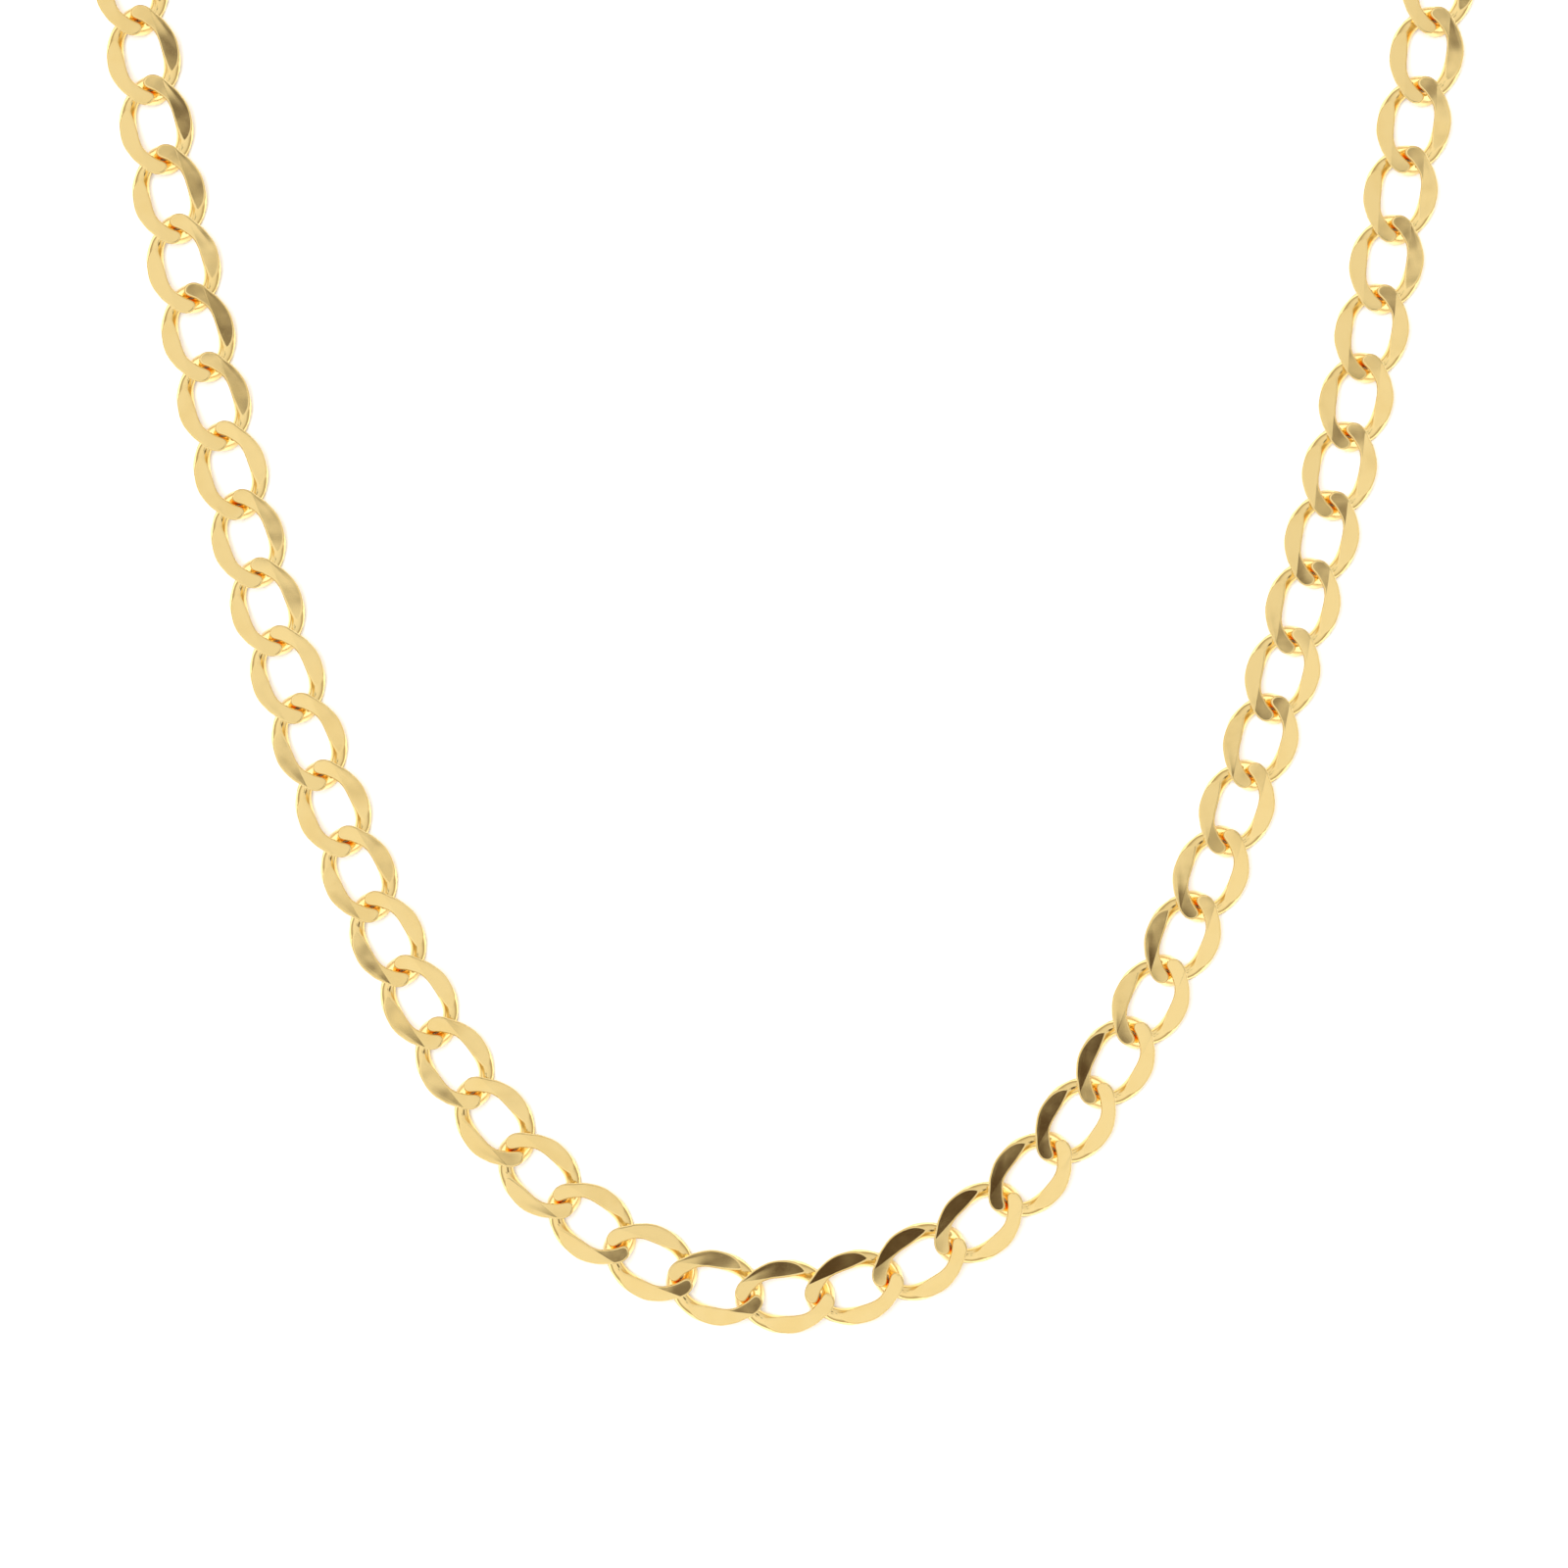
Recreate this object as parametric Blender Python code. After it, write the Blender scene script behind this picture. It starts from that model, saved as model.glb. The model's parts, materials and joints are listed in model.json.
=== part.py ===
"""Flat curb-link chain necklace with a lobster clasp.

The necklace lies unfastened on a table in an open U. The plane of the table
is XY, the bottom of the U points to -Y and the thickness runs along +Z.
Every link is a twisted oval of wire whose high spots are cut flat on both
faces, so that neighbours nest at a quarter turn and the chain lies flat.
All sizes are in metres.
"""
import math

import bmesh
import bpy
from mathutils import Matrix, Vector

# ---------------------------------------------------------------- the chain
LINK_PITCH = 0.0066        # centre to centre of neighbouring links
LINK_HALF_LENGTH = 0.00414  # wire centreline, along the chain
LINK_HALF_WIDTH = 0.00275  # wire centreline, across the chain
LINK_WIRE_RADIUS = 0.00071
LINK_TWIST = math.radians(45)  # turn of the oval's plane at each end
LINK_FLATTEN = 0.8         # the wire is rolled thinner through the thickness
LINK_THICKNESS = 0.0020    # between the two cut faces
LINK_SEGMENTS = 16
CURVE_SCALE = 3.745        # catenary parameter of the U, in link pitches
LEFT_SINGLES = 21
RIGHT_SINGLES = 22
PAIRS = 5                  # joined pairs of links at each far end
WELD_RADIUS = 0.00035
WELD_LENGTH = 0.0012

# ------------------------------------------------------------- the end rings
RING_HALF_LENGTH = 0.0030
RING_HALF_WIDTH = 0.0024
RING_WIRE_RADIUS = 0.00042
RING_LIFT = 0.00055        # above the middle plane of the chain
RING_TWIST_CHAIN = math.radians(45)
RING_TWIST_OUTER = math.radians(60)
RING_REACH = 0.0039        # last pivot of the chain to the clasp's pivot
RING_START = 0.0018        # last pivot of the chain to the ring's centre

# ----------------------------------------------------------------- the clasp
CLASP_THICKNESS = 0.0028
EYE_RADIUS = 0.0017        # middle of the rim
EYE_WIRE_RADIUS = 0.00045
EYE_REACH = 0.0008         # clasp pivot to the centre of the eye
BODY_CENTRE = 0.0090       # eye centre to the middle of the claw
BODY_HALF_LENGTH = 0.0062
BODY_HALF_WIDTH = 0.0038
NECK_WIDTH = 0.0022
NECK_HEIGHT = 0.0010
MOUTH_CENTRE = 0.0110
MOUTH_HALF_LENGTH = 0.0028
MOUTH_HALF_WIDTH = 0.0021
GAP_START = 0.0078         # the side opening that the lever closes
GAP_END = 0.0121
SLOT_THICKNESS = 0.0017
LEVER_THICKNESS = 0.0012
LEVER_SWEEP = math.radians(24)
PIN_POSITION = (0.0062, -0.0016)
PIN_RADIUS = 0.00042
PIN_HOLE_RADIUS = 0.00055
SPRING_WIRE_RADIUS = 0.00014

GOLD = (0.83, 0.60, 0.27, 1.0)
GOLD_PALE = (0.86, 0.66, 0.34, 1.0)
STEEL = (0.62, 0.60, 0.57, 1.0)

MIDDLE = LINK_THICKNESS / 2


def clear_scene():
    """Remove every object that the file starts with."""
    for obj in list(bpy.data.objects):
        bpy.data.objects.remove(obj, do_unlink=True)


def new_collection(name):
    collection = bpy.data.collections.new(name)
    bpy.context.scene.collection.children.link(collection)
    return collection


def new_material(name, colour, roughness, metallic=1.0):
    material = bpy.data.materials.new(name)
    material.use_nodes = True
    shader = material.node_tree.nodes["Principled BSDF"]
    shader.inputs["Base Color"].default_value = colour
    shader.inputs["Roughness"].default_value = roughness
    shader.inputs["Metallic"].default_value = metallic
    material.diffuse_color = colour
    return material


def add_object(name, mesh, collection, material=None, matrix=None):
    """Put a mesh in the scene, placed by its own transform."""
    obj = bpy.data.objects.new(name, mesh)
    collection.objects.link(obj)
    if matrix is not None:
        obj.matrix_world = matrix
    if material is not None:
        obj.material_slots[0].link = "OBJECT" if mesh.materials else "DATA"
        obj.material_slots[0].material = material
    return obj


def mesh_from(obj, name):
    """Evaluate an object, weld its seams and return the plain mesh."""
    bpy.context.view_layer.update()
    depsgraph = bpy.context.evaluated_depsgraph_get()
    mesh = bpy.data.meshes.new_from_object(obj.evaluated_get(depsgraph))
    mesh.name = name
    mesh.transform(obj.matrix_world)
    bm = bmesh.new()
    bm.from_mesh(mesh)
    bmesh.ops.remove_doubles(bm, verts=bm.verts, dist=1e-6)
    bmesh.ops.recalc_face_normals(bm, faces=bm.faces)
    bm.to_mesh(mesh)
    bm.free()
    return mesh


def wire_mesh(name, points, radius, collection, closed=True, sides=1):
    """A bent wire: a POLY curve with a round bevel, turned into a mesh."""
    data = bpy.data.curves.new(name, "CURVE")
    data.dimensions = "3D"
    data.bevel_depth = radius
    data.bevel_resolution = sides
    data.use_fill_caps = not closed
    spline = data.splines.new("POLY")
    spline.points.add(len(points) - 1)
    for point, place in zip(spline.points, points):
        point.co = (place[0], place[1], place[2], 1.0)
    spline.use_cyclic_u = closed
    obj = bpy.data.objects.new(name, data)
    collection.objects.link(obj)
    mesh = mesh_from(obj, name)
    bpy.data.objects.remove(obj, do_unlink=True)
    bpy.data.curves.remove(data)
    return mesh


def twisted_oval(half_length, half_width, twist_left, twist_right, segments):
    """Centreline of an oval whose plane turns from one end to the other."""
    points = []
    for index in range(segments):
        turn = 2 * math.pi * index / segments
        along = math.cos(turn)
        across = half_width * math.sin(turn)
        twist = -along * (twist_right if along > 0 else twist_left)
        points.append((half_length * along,
                       across * math.cos(twist),
                       across * math.sin(twist)))
    return points


def cut_flat(bm, height, side):
    """Slice a closed mesh with a level plane and close the cut."""
    geometry = bm.verts[:] + bm.edges[:] + bm.faces[:]
    result = bmesh.ops.bisect_plane(
        bm, geom=geometry, dist=1e-7, plane_co=(0, 0, height),
        plane_no=(0, 0, side), clear_outer=True)
    rim = [item for item in result["geom_cut"]
           if isinstance(item, bmesh.types.BMEdge)]
    bmesh.ops.holes_fill(bm, edges=rim, sides=0)


def link_mesh(name, collection):
    """One curb link, centred on the origin, along X."""
    points = twisted_oval(LINK_HALF_LENGTH, LINK_HALF_WIDTH,
                          LINK_TWIST, LINK_TWIST, LINK_SEGMENTS)
    mesh = wire_mesh(name, points, LINK_WIRE_RADIUS, collection)
    bm = bmesh.new()
    bm.from_mesh(mesh)
    bmesh.ops.scale(bm, vec=(1, 1, LINK_FLATTEN), verts=bm.verts)
    cut_flat(bm, LINK_THICKNESS / 2, 1)
    cut_flat(bm, -LINK_THICKNESS / 2, -1)
    bmesh.ops.recalc_face_normals(bm, faces=bm.faces)
    bm.to_mesh(mesh)
    bm.free()
    mesh.shade_smooth()
    mesh.set_sharp_from_angle(angle=math.radians(35))
    return mesh


def moved_copy(mesh, name, offset):
    copy = mesh.copy()
    copy.name = name
    copy.transform(Matrix.Translation(offset))
    return copy


def cylinder(name, radius, depth, centre, collection, scale=(1, 1),
             segments=24, axis="Z"):
    """An upright or lying round bar, with its scale in the mesh."""
    mesh = bpy.data.meshes.new(name)
    bm = bmesh.new()
    bmesh.ops.create_cone(bm, cap_ends=True, segments=segments,
                          radius1=radius, radius2=radius, depth=depth)
    bmesh.ops.scale(bm, vec=(scale[0], scale[1], 1), verts=bm.verts)
    if axis == "X":
        bmesh.ops.rotate(bm, matrix=Matrix.Rotation(math.pi / 2, 3, "Y"),
                         verts=bm.verts)
    bmesh.ops.translate(bm, vec=centre, verts=bm.verts)
    bm.to_mesh(mesh)
    bm.free()
    obj = bpy.data.objects.new(name, mesh)
    collection.objects.link(obj)
    return obj


def block(name, low, high, collection):
    """A box between two corners."""
    mesh = bpy.data.meshes.new(name)
    bm = bmesh.new()
    bmesh.ops.create_cube(bm, size=1)
    size = Vector(high) - Vector(low)
    bmesh.ops.scale(bm, vec=size, verts=bm.verts)
    bmesh.ops.translate(bm, vec=(Vector(low) + Vector(high)) / 2,
                        verts=bm.verts)
    bm.to_mesh(mesh)
    bm.free()
    obj = bpy.data.objects.new(name, mesh)
    collection.objects.link(obj)
    return obj


def plate(name, outline, thickness, collection):
    """A flat outline given as a 2D curve, extruded both ways."""
    data = bpy.data.curves.new(name, "CURVE")
    data.dimensions = "2D"
    data.fill_mode = "BOTH"
    data.extrude = thickness / 2
    spline = data.splines.new("POLY")
    spline.points.add(len(outline) - 1)
    for point, place in zip(spline.points, outline):
        point.co = (place[0], place[1], 0.0, 1.0)
    spline.use_cyclic_u = True
    obj = bpy.data.objects.new(name, data)
    collection.objects.link(obj)
    mesh = mesh_from(obj, name)
    bpy.data.objects.remove(obj, do_unlink=True)
    solid = bpy.data.objects.new(name, mesh)
    collection.objects.link(solid)
    return solid


def combine(name, base, tools, collection):
    """Apply a list of (operation, object) Booleans and return the mesh."""
    for operation, tool in tools:
        modifier = base.modifiers.new(operation.title(), "BOOLEAN")
        modifier.operation = operation
        modifier.solver = "EXACT"
        modifier.object = tool
        tool.hide_render = True
        tool.display_type = "WIRE"
    mesh = mesh_from(base, name)
    for obj in [base] + [tool for _, tool in tools]:
        bpy.data.objects.remove(obj, do_unlink=True)
    mesh.shade_smooth()
    mesh.set_sharp_from_angle(angle=math.radians(35))
    return mesh


def pair_mesh(link, name, cutters):
    """Two links at one pitch, soldered together where they cross."""
    half = LINK_PITCH / 2
    first = bpy.data.objects.new("first", moved_copy(link, "first",
                                                     (-half, 0, 0)))
    second = bpy.data.objects.new("second", moved_copy(link, "second",
                                                       (half, 0, 0)))
    cutters.objects.link(first)
    cutters.objects.link(second)
    bead = cylinder("bead", WELD_RADIUS, WELD_LENGTH, (0, 0, 0), cutters,
                    segments=8, axis="X")
    return combine(name, first, [("UNION", bead), ("UNION", second)], cutters)


def chain_route():
    """Lay the links out from the bottom of the U to both ends.

    Returns a list of (name, heading, pivot, span, side): the pivot is the
    joint towards the bottom link, the span the number of links in the piece
    and the side -1 to the left, 0 at the bottom and 1 to the right.
    """
    route = [("link_centre", 0.0, Vector((0, 0, 0)), 1, 0)]
    for side, singles, word in ((-1, LEFT_SINGLES, "left"),
                                (1, RIGHT_SINGLES, "right")):
        pivot = Vector((side * LINK_PITCH / 2, 0, 0))
        spans = [1] * singles + [2] * PAIRS
        place = 0
        for index, span in enumerate(spans):
            middle = place + (span + 1) / 2
            heading = side * math.atan(middle / CURVE_SCALE)
            number = index + 1 if span == 1 else index + 1 - singles
            kind = "link" if span == 1 else "link_pair"
            route.append((f"{kind}_{word}_{number:02d}", heading,
                          pivot.copy(), span, side))
            step = Vector((math.cos(heading), math.sin(heading), 0))
            pivot += side * span * LINK_PITCH * step
            place += span
        heading = side * math.atan((place + 1) / CURVE_SCALE)
        route.append((f"end_{word}", heading, pivot.copy(), 0, side))
    return route


def place_at(pivot, heading, lift=0.0):
    """World matrix of a piece that turns about a pivot on the table."""
    return (Matrix.Translation((pivot.x, pivot.y, MIDDLE + lift))
            @ Matrix.Rotation(heading, 4, "Z"))


def claw_outline(count=28):
    """Outer outline of the claw: an egg that narrows towards the eye."""
    outline = []
    for index in range(count):
        turn = 2 * math.pi * index / count
        along = math.cos(turn)
        width = BODY_HALF_WIDTH * (1 + 0.16 * along)
        outline.append((BODY_CENTRE + BODY_HALF_LENGTH * along,
                        width * math.sin(turn)))
    return outline


def clasp_body_mesh(cutters):
    """Claw, neck and eye; the eye's centre is at the origin."""
    base = plate("claw", claw_outline(), CLASP_THICKNESS, cutters)
    neck = block("neck", (EYE_RADIUS, -NECK_WIDTH / 2, -NECK_HEIGHT / 2),
                 (BODY_CENTRE - 0.004, NECK_WIDTH / 2, NECK_HEIGHT / 2),
                 cutters)
    circle = twisted_oval(EYE_RADIUS, EYE_RADIUS, 0, 0, 20)
    eye = bpy.data.objects.new("eye", wire_mesh("eye", circle,
                                                EYE_WIRE_RADIUS, cutters,
                                                sides=2))
    cutters.objects.link(eye)
    mouth = cylinder("mouth", MOUTH_HALF_WIDTH, 0.01,
                     (MOUTH_CENTRE, 0, 0), cutters,
                     scale=(MOUTH_HALF_LENGTH / MOUTH_HALF_WIDTH, 1))
    gap = block("gap", (GAP_START, -0.01, -0.01), (GAP_END, -0.0005, 0.01),
                cutters)
    slot = block("slot", (0.0040, -0.01, -SLOT_THICKNESS / 2),
                 (0.0090, -0.0002, SLOT_THICKNESS / 2), cutters)
    pin_hole = cylinder("pin_hole", PIN_HOLE_RADIUS, 0.01,
                        (PIN_POSITION[0], PIN_POSITION[1], 0), cutters,
                        segments=12)
    tools = [("UNION", neck), ("UNION", eye), ("DIFFERENCE", mouth), ("DIFFERENCE", gap),
             ("DIFFERENCE", slot), ("DIFFERENCE", pin_hole)]
    return combine("clasp_body", base, tools, cutters)


def lever_outline():
    """Closing finger and thumb tab, about the pin at the origin."""
    px, py = PIN_POSITION
    inner = []
    outer = []
    steps = 7
    for index in range(steps + 1):
        u = 0.0074 + (GAP_END - 0.0004 - 0.0074) * index / steps
        along = (u - BODY_CENTRE) / BODY_HALF_LENGTH
        edge = -BODY_HALF_WIDTH * (1 + 0.16 * along)
        edge *= math.sqrt(1 - along * along)
        outer.append((u - px, edge + 0.0001 - py))
        inner.append((u - px, edge + 0.0013 - py))
    tab = [(-0.0006, -0.0040), (0.0004, -0.0041)]
    tail = [(0.0004, 0.0009), (-0.0006, 0.0008), (-0.0010, 0.0),
            (-0.0013, -0.0012)]
    return outer + inner[::-1] + tail + tab


def lever_mesh(cutters):
    base = plate("lever", lever_outline(), LEVER_THICKNESS, cutters)
    hole = cylinder("hole", PIN_HOLE_RADIUS, 0.01, (0, 0, 0), cutters,
                    segments=12)
    return combine("clasp_lever", base, [("DIFFERENCE", hole)], cutters)


def spring_points():
    """A hairpin of wire in the slot between the lever and the claw."""
    points = []
    for index in range(9):
        turn = math.pi / 2 + math.pi * index / 8
        points.append((0.0047 + 0.00022 * math.cos(turn),
                       -0.0014 + 0.00035 * math.sin(turn), 0))
    points.insert(0, (0.0053, -0.00085, 0))
    return points


def build():
    clear_scene()
    necklace = new_collection("chain_necklace")
    cutters = new_collection("cutters")
    gold = new_material("gold", GOLD, 0.12)
    pale = new_material("gold_clasp", GOLD_PALE, 0.16)
    steel = new_material("spring_steel", STEEL, 0.3)

    link = link_mesh("link", cutters)
    half = LINK_PITCH / 2
    link_right = moved_copy(link, "link_right", (half, 0, 0))
    link_left = moved_copy(link, "link_left", (-half, 0, 0))
    pair = pair_mesh(link, "pair", cutters)
    pair_right = moved_copy(pair, "pair_right", (LINK_PITCH, 0, 0))
    pair_left = moved_copy(pair, "pair_left", (-LINK_PITCH, 0, 0))
    meshes = {(1, 0): link, (1, 1): link_right, (1, -1): link_left,
              (2, 1): pair_right, (2, -1): pair_left}
    for mesh in meshes.values():
        mesh.materials.append(gold)

    ends = {}
    for name, heading, pivot, span, side in chain_route():
        if span == 0:
            ends[side] = (heading, pivot)
            continue
        add_object(name, meshes[(span, side)], necklace,
                   matrix=place_at(pivot, heading))

    # each end ring hangs in the last link; the clasp hangs in the left ring
    for side, name in ((-1, "clasp_ring"), (1, "end_ring")):
        heading, pivot = ends[side]
        twist = (RING_TWIST_OUTER, RING_TWIST_CHAIN)
        if side > 0:
            twist = (RING_TWIST_CHAIN, RING_TWIST_OUTER)
        points = twisted_oval(RING_HALF_LENGTH, RING_HALF_WIDTH,
                              twist[0], twist[1], 20)
        points = [(x + side * RING_START, y, z) for x, y, z in points]
        ring = wire_mesh(name, points, RING_WIRE_RADIUS, cutters, sides=2)
        ring.materials.append(pale)
        ring.shade_smooth()
        add_object(name, ring, necklace,
                   matrix=place_at(pivot, heading, RING_LIFT))

    heading, pivot = ends[-1]
    out = Vector((-math.cos(heading), -math.sin(heading), 0))
    clasp_heading = heading + math.pi
    clasp_lift = CLASP_THICKNESS / 2 - MIDDLE
    clasp_pivot = pivot + out * RING_REACH
    body = clasp_body_mesh(cutters)
    body.transform(Matrix.Translation((EYE_REACH, 0, 0)))
    body.materials.append(pale)
    clasp_matrix = place_at(clasp_pivot, clasp_heading, clasp_lift)
    add_object("clasp_body", body, necklace, matrix=clasp_matrix)

    pin_local = Vector((EYE_REACH + PIN_POSITION[0], PIN_POSITION[1], 0))
    pin_matrix = clasp_matrix @ Matrix.Translation(pin_local)
    lever = lever_mesh(cutters)
    lever.materials.append(pale)
    add_object("clasp_lever", lever, necklace, matrix=pin_matrix)

    pin_obj = cylinder("pin", PIN_RADIUS, CLASP_THICKNESS - 0.0002, (0, 0, 0),
                       cutters, segments=12)
    pin = mesh_from(pin_obj, "clasp_pin")
    bpy.data.objects.remove(pin_obj, do_unlink=True)
    pin.materials.append(steel)
    add_object("clasp_pin", pin, necklace, matrix=pin_matrix)

    spring = wire_mesh("clasp_spring", spring_points(), SPRING_WIRE_RADIUS,
                       cutters, closed=False)
    spring.transform(Matrix.Translation((EYE_REACH, 0, 0)))
    spring.materials.append(steel)
    add_object("clasp_spring", spring, necklace, matrix=clasp_matrix)
    centre_on_origin(necklace)


def centre_on_origin(collection):
    """Shift the necklace so that its box stands centred on the origin."""
    bpy.context.view_layer.update()
    corners = [obj.matrix_world @ vert.co
               for obj in collection.objects for vert in obj.data.vertices]
    low = Vector([min(c[axis] for c in corners) for axis in range(3)])
    high = Vector([max(c[axis] for c in corners) for axis in range(3)])
    shift = Vector((-(low.x + high.x) / 2, -(low.y + high.y) / 2, -low.z))
    for obj in collection.objects:
        obj.location += shift


build()
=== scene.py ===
"""A gold curb-link chain necklace laid in an open U on a white table.

Every link is a twisted oval of wire with four flat facets cut on each face.
One link is modelled, and copies of it are laid along the chain's hinges.
"""
from __future__ import annotations

import json
import logging
import math
from dataclasses import dataclass
from enum import Enum
from typing import Callable, Iterable

import bpy
from mathutils import Matrix, Vector

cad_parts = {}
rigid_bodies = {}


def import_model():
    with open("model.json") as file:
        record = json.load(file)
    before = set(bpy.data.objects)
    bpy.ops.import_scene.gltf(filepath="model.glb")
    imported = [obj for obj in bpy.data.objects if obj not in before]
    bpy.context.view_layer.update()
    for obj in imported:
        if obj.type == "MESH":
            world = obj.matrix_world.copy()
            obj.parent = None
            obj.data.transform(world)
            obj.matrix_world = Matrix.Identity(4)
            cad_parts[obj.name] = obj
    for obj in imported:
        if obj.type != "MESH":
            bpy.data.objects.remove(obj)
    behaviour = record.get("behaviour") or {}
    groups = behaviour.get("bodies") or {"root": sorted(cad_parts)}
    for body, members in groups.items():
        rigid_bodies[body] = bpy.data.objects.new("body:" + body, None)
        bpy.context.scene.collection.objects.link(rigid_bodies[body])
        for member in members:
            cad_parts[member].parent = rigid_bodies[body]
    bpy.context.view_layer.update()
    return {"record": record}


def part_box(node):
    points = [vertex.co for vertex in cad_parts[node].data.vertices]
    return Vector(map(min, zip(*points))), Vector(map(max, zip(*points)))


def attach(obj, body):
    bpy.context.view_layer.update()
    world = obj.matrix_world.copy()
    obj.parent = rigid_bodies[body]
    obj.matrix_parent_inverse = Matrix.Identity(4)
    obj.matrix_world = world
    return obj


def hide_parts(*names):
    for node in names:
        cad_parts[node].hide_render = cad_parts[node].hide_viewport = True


LOG = logging.getLogger("necklace")
MM = 0.001
Colour = tuple[float, float, float]


# --------------------------------------------------------------------------
# Shader maths
# --------------------------------------------------------------------------
class Sock:
    """A node's output socket on which Python operators add Math nodes."""

    def __init__(self, board: "Board", socket: bpy.types.NodeSocket) -> None:
        """Keep the socket and the board that its nodes go on.

        Args:
            board: The board that adds nodes.
            socket: The output socket to wrap.
        """
        self.board = board
        self.socket = socket

    def _math(self, operation: str, *values: "Sock | float") -> "Sock":
        """Add one Math node.

        Args:
            operation: The Math node's operation.
            values: Its inputs, in order.

        Returns:
            The node's value.
        """
        return self.board.node("ShaderNodeMath", {"operation": operation},
                               dict(enumerate(values)))

    def __add__(self, other: "Sock | float") -> "Sock":
        """Sum."""
        return self._math("ADD", self, other)

    def __sub__(self, other: "Sock | float") -> "Sock":
        """Difference."""
        return self._math("SUBTRACT", self, other)

    def __rsub__(self, other: float) -> "Sock":
        """Difference from a number."""
        return self._math("SUBTRACT", other, self)

    def __mul__(self, other: "Sock | float") -> "Sock":
        """Product."""
        return self._math("MULTIPLY", self, other)

    def __truediv__(self, other: "Sock | float") -> "Sock":
        """Quotient."""
        return self._math("DIVIDE", self, other)

    def at_least(self, floor: float) -> "Sock":
        """The larger of this value and a number."""
        return self._math("MAXIMUM", self, floor)

    def step(self, low: float, high: float) -> "Sock":
        """A smooth step from 0 to 1 between two values of this socket.

        Args:
            low: Where the step starts.
            high: Where the step ends.

        Returns:
            The stepped value.
        """
        return self.board.node(
            "ShaderNodeMapRange", {"interpolation_type": "SMOOTHSTEP"},
            {"Value": self, "From Min": low, "From Max": high,
             "To Min": 0.0, "To Max": 1.0})


class Board:
    """A node tree that nodes are added to by one method."""

    def __init__(self, tree: bpy.types.NodeTree) -> None:
        """Start on an emptied tree.

        Args:
            tree: The material's or the world's node tree.
        """
        self.tree = tree
        tree.nodes.clear()

    def node(self, kind: str, settings: dict[str, object] | None = None,
             inputs: dict[object, object] | None = None,
             output: int | str = 0) -> Sock:
        """Add a node, set it up, feed its sockets and return an output.

        Args:
            kind: The node's type.
            settings: Its properties.
            inputs: Values or sockets, by socket name or number.
            output: The output to return.

        Returns:
            The chosen output, wrapped.
        """
        made = self.tree.nodes.new(kind)
        for key, value in (settings or {}).items():
            setattr(made, key, value)
        for key, value in (inputs or {}).items():
            socket = made.inputs[key]
            if isinstance(value, Sock):
                self.tree.links.new(value.socket, socket)
            else:
                socket.default_value = value
        socket = made.outputs[output] if made.outputs else None
        return Sock(self, socket)

    def blend(self, share: "Sock | float", first: object,
              second: object) -> Sock:
        """Mix two colours.

        Args:
            share: How much of the second colour shows.
            first: A colour or a socket.
            second: A colour or a socket.

        Returns:
            The mixed colour.
        """
        def colour(value: object) -> object:
            return value if isinstance(value, Sock) else (*value, 1.0)

        return self.node("ShaderNodeMix", {"data_type": "RGBA"},
                         {0: share, 6: colour(first), 7: colour(second)},
                         output=2)


# --------------------------------------------------------------------------
# Finishes
# --------------------------------------------------------------------------
@dataclass(frozen=True)
class MetalFinish:
    """A polished metal with fine wear.

    Attributes:
        name: The material's name.
        colour: Reflected colour where the polish is clean.
        shade: Colour in the faint cloudy patches.
        polish: Roughness of the clean polish.
        haze: Extra roughness in the worn patches.
        ripple: Height of the slow waviness of the surface, in metres.
        scratch: Height of the hairline scratches, in metres.
    """

    name: str
    colour: Colour
    shade: Colour
    polish: float
    haze: float
    ripple: float
    scratch: float

    def material(self) -> bpy.types.Material:
        """Make the material.

        Returns:
            The finished node material.
        """
        material = bpy.data.materials.new(self.name)
        material.use_nodes = True
        board = Board(material.node_tree)
        place = board.node("ShaderNodeTexCoord", output="Object")

        def noise(scale: float, detail: float, rough: float,
                  stretch: Colour = (1.0, 1.0, 1.0),
                  turn: float = 0.0) -> Sock:
            """A noise pattern in metres.

            Args:
                scale: Features per metre.
                detail: Octaves.
                rough: Weight of the finer octaves.
                stretch: Scale of the pattern along X, Y and Z.
                turn: Turn of the stretched pattern about Z.

            Returns:
                The pattern's value.
            """
            spot = board.node("ShaderNodeMapping", {},
                              {"Vector": place, "Scale": stretch,
                               "Rotation": (0.0, 0.0, turn)})
            return board.node("ShaderNodeTexNoise", {},
                              {"Vector": spot, "Scale": scale,
                               "Detail": detail, "Roughness": rough})

        clouds = noise(260.0, 3.0, 0.55)
        specks = noise(9000.0, 2.0, 0.6)
        waves = noise(330.0, 1.0, 0.4)
        hairlines = noise(900.0, 2.0, 0.5, (1.0, 14.0, 1.0), 0.7)
        crossing = noise(900.0, 2.0, 0.5, (13.0, 1.0, 1.0), 0.5)
        worn = clouds.step(0.42, 0.72)
        tint = board.blend(worn * 0.6, self.colour, self.shade)
        dust = specks.step(0.62, 0.78)
        roughness = worn * self.haze + dust * 0.06 + self.polish
        fine = hairlines.step(0.55, 0.75) + crossing.step(0.58, 0.78)
        height = waves * self.ripple + fine * self.scratch
        bump = board.node("ShaderNodeBump", {},
                          {"Strength": 1.0, "Distance": 1.0,
                           "Height": height}, output="Normal")
        shader = board.node("ShaderNodeBsdfPrincipled", {},
                            {"Base Color": tint, "Metallic": 1.0,
                             "Roughness": roughness, "Normal": bump})
        board.node("ShaderNodeOutputMaterial", {}, {"Surface": shader})
        material.diffuse_color = (*self.colour, 1.0)
        return material


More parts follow.
